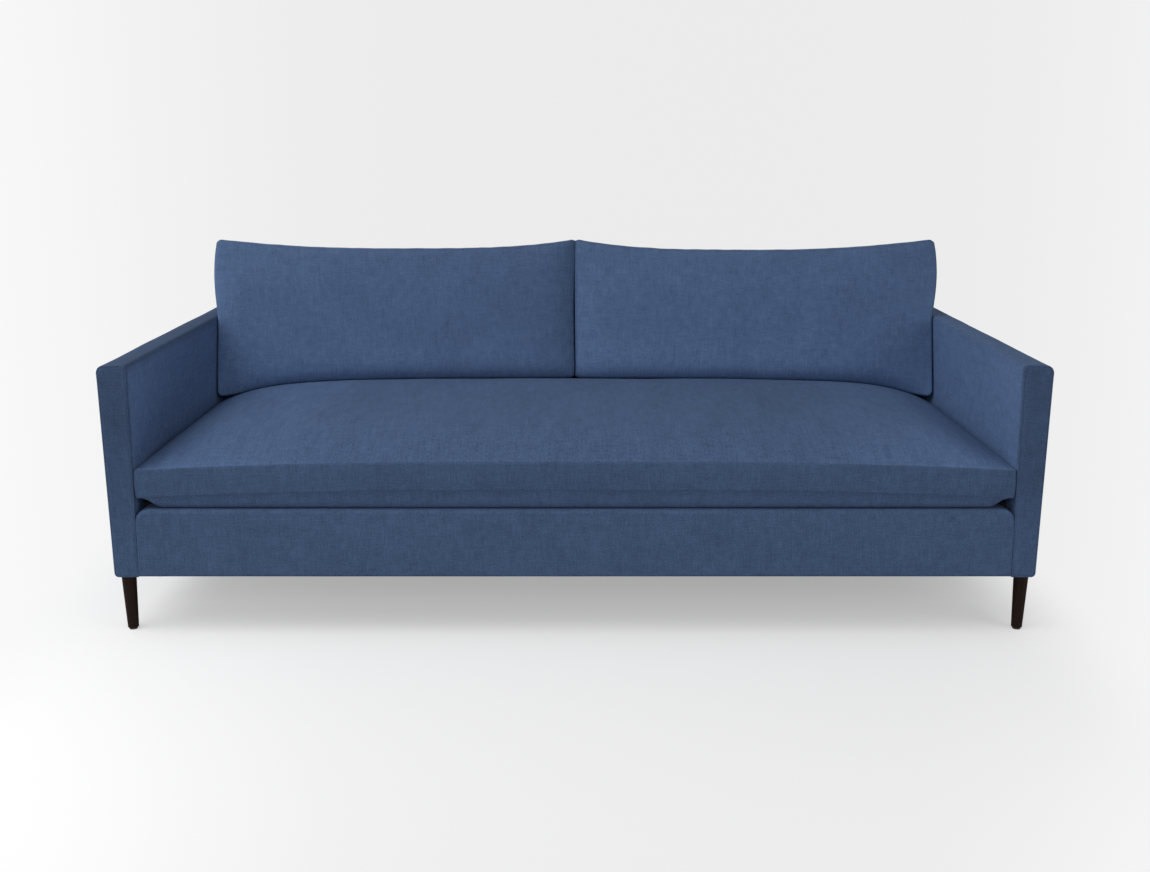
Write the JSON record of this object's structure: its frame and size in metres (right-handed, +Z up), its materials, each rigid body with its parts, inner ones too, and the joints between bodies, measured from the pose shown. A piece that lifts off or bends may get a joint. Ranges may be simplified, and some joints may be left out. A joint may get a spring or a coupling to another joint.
{
  "type": "tuxedo sofa",
  "caption": "Tuxedo sofa with slim straight arms level with the back, a single bench seat cushion, loose crowned back cushions and tapered wooden legs.",
  "frame": {"origin": "on the floor, under the middle of the sofa's box", "axes": "+Z up, +X to the right of someone facing the sofa from the front, +Y towards the back"},
  "size_m": [2.134, 0.965, 0.841],
  "materials": {
    "blue_velvet": "matte",
    "frame_timber": "matte",
    "hardboard": "matte",
    "leg_wood": "satin",
    "fibre_padding": "matte",
    "foam": "matte",
    "black_cloth": "matte",
    "webbing": "matte",
    "spring_steel": "satin",
    "zip_nylon": "matte",
    "slider_metal": "satin",
    "glide_nylon": "matte"
  },
  "bodies": {
    "sofa_frame": {"front_seat_rail": "frame_timber", "rear_seat_rail": "frame_timber", "left_side_rail": "frame_timber", "right_side_rail": "frame_timber", "left_front_post": "frame_timber", "right_front_post": "frame_timber", "left_rear_post": "frame_timber", "right_rear_post": "frame_timber", "left_arm_top_rail": "frame_timber", "right_arm_top_rail": "frame_timber", "left_arm_slat": "frame_timber", "right_arm_slat": "frame_timber", "back_top_rail": "frame_timber", "back_slat": "frame_timber", "back_uprights": "frame_timber", "seat_stretchers": "frame_timber", "corner_blocks": "frame_timber", "frame_screws": "spring_steel", "seat_springs": "spring_steel", "spring_clips": "spring_steel", "spring_ties": "spring_steel", "leg_bolts": "spring_steel", "leg_inserts": "spring_steel", "leg_plates": "spring_steel", "back_webbing": "webbing", "left_arm_board": "hardboard", "right_arm_board": "hardboard", "back_board": "hardboard", "left_arm_pad": "fibre_padding", "right_arm_pad": "fibre_padding", "back_pad": "fibre_padding", "front_rail_pad": "fibre_padding", "deck_pad": "fibre_padding", "deck_insulator": "black_cloth", "deck_cover": "black_cloth", "dust_cover": "black_cloth", "left_arm_cover": "blue_velvet", "right_arm_cover": "blue_velvet", "inside_back_cover": "blue_velvet", "outside_back_cover": "blue_velvet", "front_rail_cover": "blue_velvet", "front_left_leg": "leg_wood", "front_right_leg": "leg_wood", "rear_left_leg": "leg_wood", "rear_right_leg": "leg_wood", "leg_glides": "glide_nylon"},
    "seat_cushion": {"seat_cushion_cover": "blue_velvet", "seat_cushion_wrap": "fibre_padding", "seat_cushion_core": "foam", "seat_cushion_zip": "zip_nylon"},
    "seat_zip_slider": {"seat_zip_slider": "slider_metal"},
    "left_back_cushion": {"left_back_cushion_cover": "blue_velvet", "left_back_cushion_fill": "fibre_padding", "left_back_cushion_zip": "zip_nylon"},
    "left_back_zip_slider": {"left_back_zip_slider": "slider_metal"},
    "right_back_cushion": {"right_back_cushion_cover": "blue_velvet", "right_back_cushion_fill": "fibre_padding", "right_back_cushion_zip": "zip_nylon"},
    "right_back_zip_slider": {"right_back_zip_slider": "slider_metal"}
  },
  "joints": [
    {"name": "seat_cushion_pull_out", "type": "slide", "parent": "sofa_frame", "child": "seat_cushion", "axis": [0, -1, 0], "range_m": [0, 0.9]},
    {"name": "left_back_cushion_lift", "type": "slide", "parent": "sofa_frame", "child": "left_back_cushion", "axis": [0, 0, 1], "range_m": [0, 0.45]},
    {"name": "right_back_cushion_lift", "type": "slide", "parent": "sofa_frame", "child": "right_back_cushion", "axis": [0, 0, 1], "range_m": [0, 0.45]},
    {"name": "seat_zip_slide", "type": "slide", "parent": "seat_cushion", "child": "seat_zip_slider", "axis": [1, 0, 0], "range_m": [0, 1.482]},
    {"name": "left_back_zip_slide", "type": "slide", "parent": "left_back_cushion", "child": "left_back_zip_slider", "axis": [1, 0, 0], "range_m": [0, 0.7414]},
    {"name": "right_back_zip_slide", "type": "slide", "parent": "right_back_cushion", "child": "right_back_zip_slider", "axis": [1, 0, 0], "range_m": [0, 0.7414]}
  ]
}
